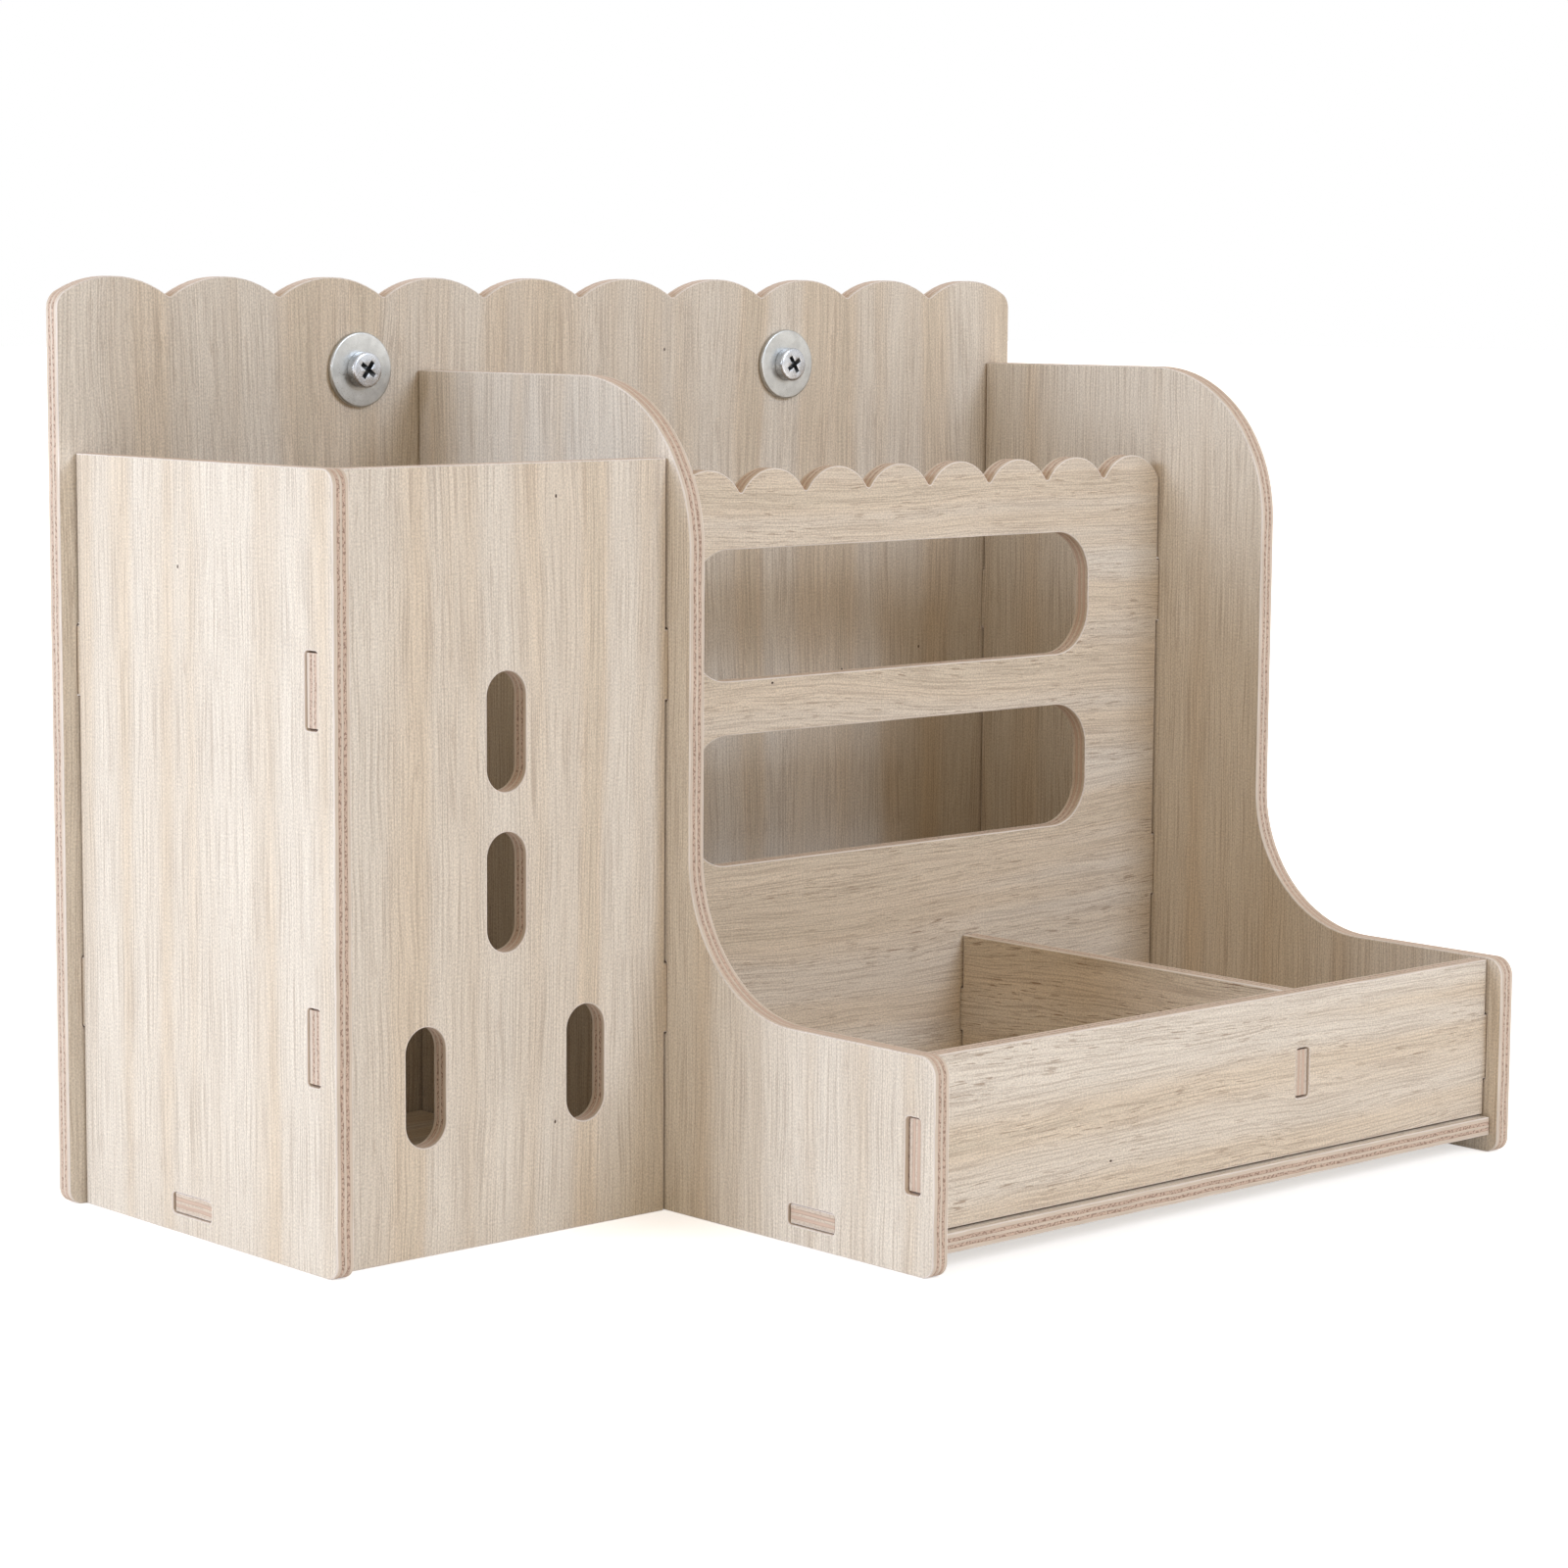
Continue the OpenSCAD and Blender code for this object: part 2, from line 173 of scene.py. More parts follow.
def laid(tree, share, under, over, blend_type="MIX"):
    """One colour laid over another."""
    return add(tree, "ShaderNodeMix", {0: share, 6: under, 7: over}, data_type="RGBA",
               blend_type=blend_type).outputs[2]


def ramped(tree, value, stops):
    """The grey or the colour that a value has between its stops."""
    return add(tree, "ShaderNodeValToRGB", {"Fac": value}, stops=stops).outputs[0]


def noise(tree, place, scale, detail=2):
    """Noise in space, with so many features in a metre."""
    return add(tree, "ShaderNodeTexNoise", {"Vector": place, "Scale": scale, "Detail": detail}).outputs["Fac"]


def pattern(tree, place, size_mm, detail=2, roughness=0.5, shift=0):
    """Noise with features of a real size along the first two axes of a place that is in millimetres."""
    scaled = add(tree, "ShaderNodeVectorMath", {0: place, 1: (1 / size_mm[0], 1 / size_mm[1], 0),
                                                2: (shift, shift, 0)}, operation="MULTIPLY_ADD")
    cloud = add(tree, "ShaderNodeTexNoise", {"Vector": scaled.outputs[0], "Scale": 1, "Detail": detail,
                                             "Roughness": roughness}, noise_dimensions="2D")
    return cloud.outputs["Fac"]


def coat(tree, colour, roughness, relief, strength, depth_mm, **more):
    """Ends a material with its surface: a colour, a roughness and a relief of a real depth."""
    bump = add(tree, "ShaderNodeBump", {"Strength": strength, "Distance": depth_mm * MM, "Height": relief})
    shader = add(tree, "ShaderNodeBsdfPrincipled", {"Base Color": colour, "Roughness": roughness,
                                                    "Normal": bump.outputs[0], **more})
    add(tree, "ShaderNodeOutputMaterial", {"Surface": shader.outputs[0]})


# Oak print on melamine-faced plywood: a matt-satin film, pale greige with soft cream and ash bands,
# fine wavy fibre lines, and short brown pore lines that gather in bands. Lines and pores are drawn
# half as wide again as they are printed, so that they show from a metre away.
def oak_film(name, colours):
    material, tree = new_material(name)
    # Real sizes across and along the grain, in millimetres
    drift_mm, drift_reach = (60, 230), 14
    wave_mm, wave_reach = (8, 30), 1.7
    band_mm, streak_mm, line_mm, grit_mm = (14, 500), (1.0, 70), (0.45, 34), (0.45, 0.6)
    pore_mm, cluster_mm, dash_mm = (0.45, 9), (7, 50), (0.42, 8)
    # A fleck's cell in millimetres, its radius as a share of the cell, and the share of bare cells
    fleck_cell_mm, fleck_r, bare_share = (34, 52), 0.009, 0.87

    sheet = add(tree, "ShaderNodeAttribute", attribute_name="grain_mm").outputs["Vector"]
    figure = add(tree, "ShaderNodeSeparateXYZ", {0: sheet}).outputs["Z"]
    reach = calc(tree, "MULTIPLY", calc(tree, "ADD", figure, 0.6), drift_reach)
    wave = calc(tree, "MULTIPLY", pattern(tree, sheet, wave_mm, 1), wave_reach)
    drift = calc(tree, "MULTIPLY_ADD", pattern(tree, sheet, drift_mm, 1), reach, wave)
    bend = add(tree, "ShaderNodeCombineXYZ", {"X": drift}).outputs[0]
    grain = add(tree, "ShaderNodeVectorMath", {0: sheet, 1: bend}, operation="ADD").outputs[0]

    warmth = calc(tree, "MULTIPLY_ADD", figure, 0.16, pattern(tree, grain, band_mm, 1))
    band = ramped(tree, warmth, [(0.38, colours.ash), (0.53, colours.greige), (0.68, colours.cream),
                                 (0.80, colours.tan)])
    level = faded(tree, pattern(tree, grain, streak_mm, 3, 0.65, 3), 0.3, 0.7, 1.03, 0.97)
    streaked = laid(tree, 1.0, band, level, "MULTIPLY")
    fibre = pattern(tree, grain, line_mm, shift=11)
    fibred = laid(tree, 1.0, streaked, faded(tree, fibre, 0.3, 0.55, 1.10, 1.0), "MULTIPLY")

    line = faded(tree, fibre, 0.5, 0.7, 0, 0.32)
    cluster = faded(tree, pattern(tree, grain, cluster_mm, shift=13), 0.38, 0.66, 0.3)
    pore = faded(tree, pattern(tree, grain, pore_mm, shift=19), 0.60, 0.70, 0, 0.3)
    dash = faded(tree, pattern(tree, grain, dash_mm, 1, shift=29), 0.65, 0.70)
    open_pores = calc(tree, "MAXIMUM", pore, calc(tree, "MULTIPLY", dash, figure))
    pores = calc(tree, "MAXIMUM", calc(tree, "MULTIPLY", open_pores, cluster), line)
    pored = laid(tree, pores, fibred, rgba(colours.pore))

    grit = pattern(tree, sheet, grit_mm, 1, shift=41)
    gritty = laid(tree, 1.0, pored, faded(tree, grit, 0.3, 0.7, 0.88, 1.12), "MULTIPLY")

    per_cell = (1 / fleck_cell_mm[0], 1 / fleck_cell_mm[1], 0)
    cells = add(tree, "ShaderNodeVectorMath", {0: sheet, 1: per_cell}, operation="MULTIPLY").outputs[0]
    spots = add(tree, "ShaderNodeTexVoronoi", {"Vector": cells, "Scale": 1}, voronoi_dimensions="2D").outputs
    near = calc(tree, "LESS_THAN", spots["Distance"], fleck_r)
    chance = add(tree, "ShaderNodeSeparateColor", {0: spots["Color"]}).outputs[0]
    fleck = calc(tree, "MULTIPLY", near, calc(tree, "GREATER_THAN", chance, bare_share))
    flecked = laid(tree, fleck, gritty, rgba(colours.fleck))

    roughness = faded(tree, pores, 0, 1, 0.5, 0.75)
    coat(tree, flecked, roughness, calc(tree, "SUBTRACT", grit, pores), 0.4, 0.06, IOR=1.5)
    return material


# The cut edge of five-ply poplar board: cream and pinkish veneers with brown glue lines. Where a
# veneer is cut across its grain it is pitted, and where it is cut along it shows fine streaks.
def ply_edge(name, colours, board_mm):
    material, tree = new_material(name)
    # Real sizes along the edge and through the board, in millimetres
    wander_mm, streak_mm, pit_mm = (11, 40), (18, 0.22), (0.85, 0.6)

    cut = add(tree, "ShaderNodeAttribute", attribute_name="cut_mm").outputs["Vector"]
    parts = add(tree, "ShaderNodeSeparateXYZ", {0: cut}).outputs
    wander = calc(tree, "MULTIPLY_ADD", pattern(tree, cut, wander_mm), 0.5, -0.25)
    share = calc(tree, "DIVIDE", calc(tree, "ADD", parts["Y"], wander), board_mm)
    film, veneer, core, glue = colours.film, colours.veneer, colours.core, colours.glue
    plies = ramped(tree, share, [(0.00, film), (0.045, film), (0.07, veneer), (0.235, veneer),
                                 (0.255, glue), (0.28, core), (0.42, core), (0.44, veneer),
                                 (0.56, veneer), (0.58, glue), (0.60, core), (0.74, core),
                                 (0.76, glue), (0.78, veneer), (0.93, veneer), (0.955, film)])
    across = ramped(tree, share, [(0.25, 0), (0.27, 1), (0.43, 1), (0.44, 0),
                                  (0.57, 0), (0.58, 1), (0.75, 1), (0.76, 0)])
    end_grain = calc(tree, "ABSOLUTE", calc(tree, "SUBTRACT", across, parts["Z"]))
    # The film and the glue keep the outer plies closed, so that they pit less than the core
    openness = calc(tree, "MULTIPLY", end_grain, faded(tree, across, 0, 1, 0.2, 0.7))

    streak = faded(tree, pattern(tree, cut, streak_mm, 3, 0.6), 0.3, 0.7, 0.86, 1.08)
    lined = laid(tree, 1.0, plies, streak, "MULTIPLY")
    pit = ramped(tree, pattern(tree, cut, pit_mm, 2, 0.6, 5), [(0.50, 0), (0.60, 1)])
    pits = calc(tree, "MULTIPLY", pit, openness)
    pitted = laid(tree, pits, lined, rgba(colours.pit))
    coat(tree, pitted, 0.8, calc(tree, "SUBTRACT", streak, pits), 0.6, 0.15, IOR=1.5)
    return material


# Bright zinc plate on stamped steel: pale cool grey metal with a soft gloss, slightly cloudy, with
# faint tumbling marks.
def zinc_plate(name, light, dark, roughness):
    material, tree = new_material(name)
    cloud_mm, mark_mm, grit_mm = 2.6, (0.25, 2.5, 0.25), 0.3
    place = add(tree, "ShaderNodeTexCoord").outputs["Object"]
    tint = ramped(tree, noise(tree, place, 1 / (cloud_mm * MM)), [(0.35, dark), (0.65, light)])
    stretched = add(tree, "ShaderNodeMapping", {"Vector": place, "Rotation": (0.4, 0.9, 0.3),
                                                "Scale": [1 / (size * MM) for size in mark_mm]})
    marks = noise(tree, stretched.outputs[0], 1, 3)
    uneven = calc(tree, "ADD", marks, noise(tree, place, 1 / (grit_mm * MM)))
    coat(tree, tint, faded(tree, uneven, 0.7, 1.3, roughness - 0.08, roughness + 0.1), uneven, 0.25, 0.02,
         Metallic=1)
    return material


def finish_for(name, make, *values):
    """The material of that name, made at its first use."""
    return bpy.data.materials.get(name) or make(name, *values)


def zinc_finish(name):
    """The material of a zinc finish."""
    return finish_for(name, zinc_plate, *ZINC_FINISHES[name])


def board_outline(node, thick):
    """The loops round a board's flat face, in its two other axes, with the wood on their left."""
    u, v = (thick + 1) % 3, (thick + 2) % 3
    mesh = bmesh.new()
    mesh.from_mesh(frame["nodes"][node].data)
    bmesh.ops.remove_doubles(mesh, verts=mesh.verts, dist=WELD)
    low = min(vert.co[thick] for vert in mesh.verts)
    flat = {f for f in mesh.faces if all(abs(vert.co[thick] - low) < WELD for vert in f.verts)}
    before = {}
    # In the mesh's own order, so that every run starts a loop at the same point
    for face in (f for f in mesh.faces if f in flat):
        for corner in face.loops:
            if sum(other in flat for other in corner.edge.link_faces) == 1:
                before[corner.link_loop_next.vert] = corner.vert
    loops = []
    while before:
        vert = next(iter(before))
        loop = []
        while vert in before:
            loop.append(Vector((vert.co[u], vert.co[v])))
            vert = before.pop(vert)
        loops.append(loop)
    mesh.free()
    return loops


def inward(loop):
    """For each point of a loop, the mitred step of unit inset into the wood."""
    ahead = [(loop[(i + 1) % len(loop)] - p).normalized() for i, p in enumerate(loop)]
    sides = [Vector((-d.y, d.x)) for d in ahead]
    return [(sides[i - 1] + sides[i]) / (1 + sides[i - 1].dot(sides[i])) for i in range(len(loop))]


def eased_profile(thickness, arris, steps):
    """From one face of a board to the other: how far in and how far through, round both arrises."""
    turns = [math.pi / 2 * k / steps for k in range(steps + 1)]
    first = [(arris * (1 - math.sin(a)), arris * (1 - math.cos(a))) for a in turns]
    return first + [(inset, thickness - through) for inset, through in reversed(first)]


def build_board(node, name, order, looks):
    """Draws a board again from its outline, with eased arrises, grain and ply coordinates."""
    thick, grain, figure = BOARDS[node]
    across, u, v = 3 - thick - grain, (thick + 1) % 3, (thick + 2) % 3
    low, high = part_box(node)
    thickness = high[thick] - low[thick]
    profile = eased_profile(thickness, looks.arris, looks.arris_steps)
    shift = SHEET_STEP * order

    mesh = bmesh.new()
    on_sheet = mesh.loops.layers.float_vector.new("grain_mm")
    on_edge = mesh.loops.layers.float_vector.new("cut_mm")

    def place(point, through):
        co = [0, 0, 0]
        co[thick] = low[thick] + through
        co[u], co[v] = point
        return mesh.verts.new(co)

    skins = []
    for loop in board_outline(node, thick):
        steps = inward(loop)
        skin = [[place(p + s * inset, through) for p, s in zip(loop, steps)] for inset, through in profile]
        skins.append(skin)
        run = 0
        for i, point in enumerate(loop):
            j = (i + 1) % len(loop)
            length = (loop[j] - point).length
            direction = [0, 0, 0]
            direction[u], direction[v] = (loop[j] - point) / length
            end_grain = 1 - direction[grain] ** 2
            for k in range(len(profile) - 1):
                wall = mesh.faces.new((skin[k][i], skin[k + 1][i], skin[k + 1][j], skin[k][j]))
                wall.material_index = 1
                wall.smooth = True
                spots = ((run, k), (run, k + 1), (run + length, k + 1), (run + length, k))
                for corner, (along, step) in zip(wall.loops, spots):
                    corner[on_edge] = (along / MM, profile[step][1] / MM, end_grain)
            run += length
    for end, outwards in ((0, False), (-1, True)):
        verts = [vert for skin in skins for vert in skin[end]]
        polygons = [[Vector((vert.co[u], vert.co[v], 0)) for vert in skin[end]] for skin in skins]
        for corners in tessellate_polygon(polygons):
            face = mesh.faces.new([verts[c] for c in corners])
            face.normal_update()
            if (face.normal[thick] > 0) != outwards:
                face.normal_flip()
            face.smooth = True
    for face in mesh.faces:
        for corner in face.loops:
            co = corner.vert.co
            corner[on_sheet] = Vector((co[across] / MM, co[grain] / MM, figure)) + shift
    mesh.normal_update()
    board = linked(mesh, name)
    board.data.materials.append(finish_for("oak_print_melamine_film", oak_film, looks))
    board.data.materials.append(finish_for("poplar_plywood_cut_edge", ply_edge, looks, thickness / MM))
    return shade(board, math.radians(40))


def linked(mesh, name):
    """Makes an object of a bmesh."""
    data = bpy.data.meshes.new(name)
    mesh.to_mesh(data)
    mesh.free()
    piece = bpy.data.objects.new(name, data)
    bpy.context.scene.collection.objects.link(piece)
    return piece


def shade(piece, sharp):
    """Shades a piece smooth but for edges sharper than the angle."""
    piece.data.shade_smooth()
    piece.data.set_sharp_from_angle(angle=sharp)
    weigh = piece.modifiers.new("even_shading", "WEIGHTED_NORMAL")
    weigh.keep_sharp = True
    return applied(piece)


def applied(piece):
    """Puts what a piece's modifiers make in its mesh, and removes them."""
    bpy.context.view_layer.update()
    graph = bpy.context.evaluated_depsgraph_get()
    evaluated = piece.evaluated_get(graph)
    data = bpy.data.meshes.new_from_object(evaluated, preserve_all_data_layers=True, depsgraph=graph)
    piece.modifiers.clear()
    old = piece.data
    piece.data = data
    bpy.data.meshes.remove(old)
    data.name = piece.name
    return piece


def stand_in(piece, node, body):
    """Lets a piece stand for a CAD node and ride on its body."""
    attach(piece, body)
    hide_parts(node)


def body_of_node(node):
    """The name of the body that holds a CAD node."""
    return next(body for body, nodes in frame["record"]["behaviour"]["bodies"].items() if node in nodes)


def make_boards(context, names):
    """Makes the boards that stand for the named nodes."""
    for node in names:
        piece = build_board(node, node + "_board", list(BOARDS).index(node), context.scene.feeder_boards)
        stand_in(piece, node, body_of_node(node))


def lathe(mesh, outline, segments=64):
    """Turns an outline of (radius, height) points round Z into a closed skin."""
    rings = []
    for radius, height in outline:
        if radius < WELD:
            rings.append([mesh.verts.new((0, 0, height))])
        else:
            turns = (2 * math.pi * k / segments for k in range(segments))
            rings.append([mesh.verts.new((radius * math.cos(a), radius * math.sin(a), height))
                          for a in turns])
    for low, high in zip(rings, rings[1:]):
        for k in range(segments):
            j = k + 1
            corners = [low[k % len(low)], low[j % len(low)], high[j % len(high)], high[k % len(high)]]
            unique = list(dict.fromkeys(corners))
            if len(unique) > 2:
                mesh.faces.new(unique)


def loose_object(mesh, name):
    """A helper object of a bmesh, with its faces pointing out."""
    bmesh.ops.recalc_face_normals(mesh, faces=mesh.faces)
    return linked(mesh, name)


def discard(helper):
    """Removes a helper object and its mesh."""
    data = helper.data
    bpy.data.objects.remove(helper)
    bpy.data.meshes.remove(data)


def joined(piece, helper, operation):
    """Cuts a helper out of a piece, or adds it, and removes the helper."""
    change = piece.modifiers.new(operation.lower(), "BOOLEAN")
    change.operation = operation
    change.object = helper
    change.solver = "EXACT"
    applied(piece)
    discard(helper)
    return piece


def group_socket(tree, name, kind, default=None):
    """A named input of a geometry tree."""
    socket = tree.interface.new_socket(name=name, in_out="INPUT", socket_type=kind)
    if default is not None:
        socket.default_value = default
    return socket


def grow(tree, name, values):
    """An object of what a geometry tree makes from the given inputs, as a plain mesh."""
    piece = bpy.data.objects.new(name, bpy.data.meshes.new(name))
    bpy.context.scene.collection.objects.link(piece)
    growth = piece.modifiers.new("growth", "NODES")
    growth.node_group = tree
    for socket in tree.interface.items_tree:
        if socket.item_type == "SOCKET" and socket.in_out == "INPUT" and socket.name in values:
            growth[socket.identifier] = values[socket.name]
    return applied(piece)


def close_tree(tree, geometry, material):
    """Ends a geometry tree as the export needs it: real meshes, with their material."""
    tree.interface.new_socket(name="Geometry", in_out="OUTPUT", socket_type="NodeSocketGeometry")
    real = add(tree, "GeometryNodeRealizeInstances", {0: geometry})
    painted = add(tree, "GeometryNodeSetMaterial", {"Geometry": real.outputs[0], "Material": material})
    add(tree, "NodeGroupOutput", {0: painted.outputs[0]})


def threaded_rod_tree():
    """A rod whose side is drawn in by a groove that climbs one pitch in each turn."""
    if "threaded_rod" in bpy.data.node_groups:
        return bpy.data.node_groups["threaded_rod"]
    tree = bpy.data.node_groups.new("threaded_rod", "GeometryNodeTree")
    for name, size_mm in (("Diameter", 5), ("Length", 25), ("Pitch", 0.8), ("Groove", 0.45), ("Point", 0.7)):
        group_socket(tree, name, "NodeSocketFloat", size_mm * MM)
    group_socket(tree, "Rings per turn", "NodeSocketInt", 8)
    group_socket(tree, "Material", "NodeSocketMaterial")
    given = add(tree, "NodeGroupInput").outputs

    turns = calc(tree, "DIVIDE", given["Length"], given["Pitch"])
    rod = add(tree, "GeometryNodeMeshCylinder",
              {"Vertices": 48, "Side Segments": calc(tree, "MULTIPLY", turns, given["Rings per turn"]),
               "Radius": calc(tree, "MULTIPLY", given["Diameter"], 0.5), "Depth": given["Length"]})
    lift = add(tree, "ShaderNodeCombineXYZ", {"Z": calc(tree, "MULTIPLY", given["Length"], 0.5)})
    stood = add(tree, "GeometryNodeTransform", {"Geometry": rod.outputs["Mesh"],
                                                "Translation": lift.outputs[0]})

    here = add(tree, "ShaderNodeSeparateXYZ", {0: add(tree, "GeometryNodeInputPosition").outputs[0]}).outputs
    angle = calc(tree, "ARCTAN2", here["Y"], here["X"])
    climbed = calc(tree, "DIVIDE", here["Z"], given["Pitch"])
    phase = calc(tree, "MULTIPLY_ADD", angle, -1 / (2 * math.pi), climbed)
    # From 0 at the crest to 1 at the root, with a narrow flat on each
    groove = faded(tree, calc(tree, "PINGPONG", phase, 0.5), 0.06, 0.44)
    tip = calc(tree, "SUBTRACT", given["Length"], given["Point"])
    bevel = faded(tree, here["Z"], tip, given["Length"], 0, given["Point"])
    inset = calc(tree, "MAXIMUM", calc(tree, "MULTIPLY", groove, given["Groove"]), bevel)
    flat = add(tree, "ShaderNodeCombineXYZ", {"X": here["X"], "Y": here["Y"]})
    outwards = add(tree, "ShaderNodeVectorMath", {0: flat.outputs[0]}, operation="NORMALIZE")
    back = calc(tree, "MULTIPLY", inset, -1)
    move = add(tree, "ShaderNodeVectorMath", {0: outwards.outputs[0], "Scale": back}, operation="SCALE")
    shaped = add(tree, "GeometryNodeSetPosition", {"Geometry": stood.outputs[0], "Offset": move.outputs[0]})
    close_tree(tree, shaped.outputs[0], given["Material"])
    return tree


def washer_tree():
    """A flat ring with rounded arrises: a filleted section carried round a circle."""
    if "round_washer" in bpy.data.node_groups:
        return bpy.data.node_groups["round_washer"]
    tree = bpy.data.node_groups.new("round_washer", "GeometryNodeTree")
    for name, size_mm in (("Diameter", 20), ("Bore", 5.5), ("Thickness", 1.6), ("Edge", 0.35)):
        group_socket(tree, name, "NodeSocketFloat", size_mm * MM)
    group_socket(tree, "Material", "NodeSocketMaterial")
    given = add(tree, "NodeGroupInput").outputs

    middle = calc(tree, "MULTIPLY", calc(tree, "ADD", given["Diameter"], given["Bore"]), 0.25)
    path = add(tree, "GeometryNodeCurvePrimitiveCircle", {"Resolution": 96, "Radius": middle})
    width = calc(tree, "MULTIPLY", calc(tree, "SUBTRACT", given["Diameter"], given["Bore"]), 0.5)
    section = add(tree, "GeometryNodeCurvePrimitiveQuadrilateral",
                  {"Width": width, "Height": given["Thickness"]})
    eased = add(tree, "GeometryNodeFilletCurve",
                {"Curve": section.outputs[0], "Count": 4, "Radius": given["Edge"]}, mode="POLY")
    ring = add(tree, "GeometryNodeCurveToMesh", {"Curve": path.outputs[0], "Profile Curve": eased.outputs[0]})
    close_tree(tree, ring.outputs[0], given["Material"])
    return tree


def along_screw(node, y):
    """Takes what is drawn along +Z to the axis of the screw that a node is on, from y to the back."""
    low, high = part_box(node)
    middle = (low + high) / 2
    return Matrix.Translation((middle.x, y, middle.z)) @ Matrix.Rotation(-math.pi / 2, 4, "X")


def outward_faces(piece):
    """Merges a mesh's doubles and points its faces out."""
    mesh = bmesh.new()
    mesh.from_mesh(piece.data)
    bmesh.ops.remove_doubles(mesh, verts=mesh.verts, dist=WELD)
    bmesh.ops.recalc_face_normals(mesh, faces=mesh.faces)
    mesh.to_mesh(piece.data)
    mesh.free()


def paint(piece, material):
    """Gives the whole piece one material."""
    piece.data.materials.clear()
    piece.data.materials.append(material)
    piece.data.polygons.foreach_set("material_index", [0] * len(piece.data.polygons))


def cross_tool(looks, turn):
    """The driver-shaped recess of a screw's head: a cross that narrows as it goes down."""
    mesh = bmesh.new()
    above = 0.2 * MM

    def ring(reach, half, height):
        corners = []
        for k in range(4):
            spin = Matrix.Rotation(turn + math.pi / 2 * k, 2)
            for point in ((reach, -half), (reach, half), (half, half)):
                flat = spin @ Vector(point)
                corners.append(mesh.verts.new((flat.x, flat.y, height)))
        return corners

    # How far a wing reaches from the middle, and half its width, at the top and at the bottom
    top = (looks.recess_span / 2, looks.recess_wing / 2)
    bottom = (looks.recess_span * 0.24, looks.recess_wing * 0.36)
    lean = [(a - b) * above / looks.recess_depth for a, b in zip(top, bottom)]
    upper = ring(top[0] + lean[0], top[1] + lean[1], -above)
    lower = ring(*bottom, looks.recess_depth)
    for k in range(len(upper)):
        j = (k + 1) % len(upper)
        mesh.faces.new((upper[k], upper[j], lower[j], lower[k]))
    mesh.faces.new(upper)
    mesh.faces.new(lower)
    return loose_object(mesh, "recess_tool")


def build_screw(name, node, washer_node, turn, looks):
    """A cheese-head machine screw: rounded head with a cross recess, and a cut thread."""
    low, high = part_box(node)
    under_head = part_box(washer_node)[0].y
    head_r, head_h = (high.x - low.x) / 2, under_head - low.y
    # The head's outline: from its low crown over a rounded rim to its chamfered underside
    round_r, crown, chamfer, steps = 0.8 * MM, 0.12 * MM, 0.15 * MM, 6
    outline = [(0, 0), (head_r * 0.55, crown * 0.3), (head_r - round_r, crown)]
    outline += [(head_r - round_r + round_r * math.sin(a), crown + (round_r - crown) * (1 - math.cos(a)))
                for a in (math.pi / 2 * k / steps for k in range(1, steps + 1))]
    outline += [(head_r, head_h - chamfer), (head_r - chamfer, head_h), (0, head_h)]
    mesh = bmesh.new()
    lathe(mesh, outline)
    head = loose_object(mesh, name)
    joined(head, cross_tool(looks, turn), "DIFFERENCE")
    soften = head.modifiers.new("worn_edges", "BEVEL")
    soften.width = 0.07 * MM
    soften.segments = 2
    soften.limit_method = "ANGLE"
    soften.angle_limit = math.radians(40)
    applied(head)
    zinc = zinc_finish("zinc_plated_steel_screw")
    paint(head, zinc)
    # The faces inside the cross recess get the darker grey: painted shade where the recess lies in shade
    head.data.materials.append(zinc_finish("zinc_plated_steel_recess"))
    # The recess's faces lie between these depths
    recess_top, recess_end = crown + 0.12 * MM, head_h - 0.2 * MM
    for face in head.data.polygons:
        inside = math.hypot(face.center.x, face.center.y) < looks.recess_span / 2
        if inside and recess_top < face.center.z < recess_end:
            face.material_index = 1
    head.data.transform(along_screw(node, low.y))

    groove_share = 0.56
    rod = grow(threaded_rod_tree(), "rod", {
        "Diameter": looks.shank_d, "Length": high.y - under_head, "Pitch": looks.pitch,
        "Groove": looks.pitch * groove_share, "Material": zinc})
    paint(rod, zinc)
    rod.data.transform(along_screw(node, under_head))
    return merged(head, rod)


def merged(piece, other):
    """Joins another object's mesh into a piece."""
    mesh = bmesh.new()
    mesh.from_mesh(piece.data)
    mesh.from_mesh(other.data)
    mesh.to_mesh(piece.data)
    mesh.free()
    discard(other)
    return piece


def build_washer(name, node, bore, looks):
    """A washer with rounded arrises and a bore of the given width."""
    low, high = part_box(node)
    thickness = high.y - low.y
    piece = grow(washer_tree(), name, {
        "Diameter": high.x - low.x, "Bore": bore, "Thickness": thickness, "Edge": looks.washer_edge,
        "Material": zinc_finish("zinc_plated_steel_washer")})
    piece.data.transform(along_screw(node, low.y + thickness / 2))
    outward_faces(piece)
    return shade(piece, math.radians(50))


def wing_outline(half_span, height, hub_r, hub_h, ear_r):
    """One wing seen from the front: it leaves the hub, leans out and ends in a round ear."""
    root_x, foot_x, foot_z, shoulder_z = hub_r * 0.4, hub_r * 0.94, 0.9 * MM, hub_h * 0.93
    start, end, steps = -0.42 * math.pi, 0.93 * math.pi, 22
    ear = Vector((half_span - ear_r, height - ear_r))
    points = [Vector((root_x, foot_z)), Vector((foot_x, foot_z))]
    for k in range(steps + 1):
        a = start + (end - start) * k / steps
        points.append(ear + ear_r * Vector((math.cos(a), math.sin(a))))
    points.append(Vector((root_x, shoulder_z)))
    return points


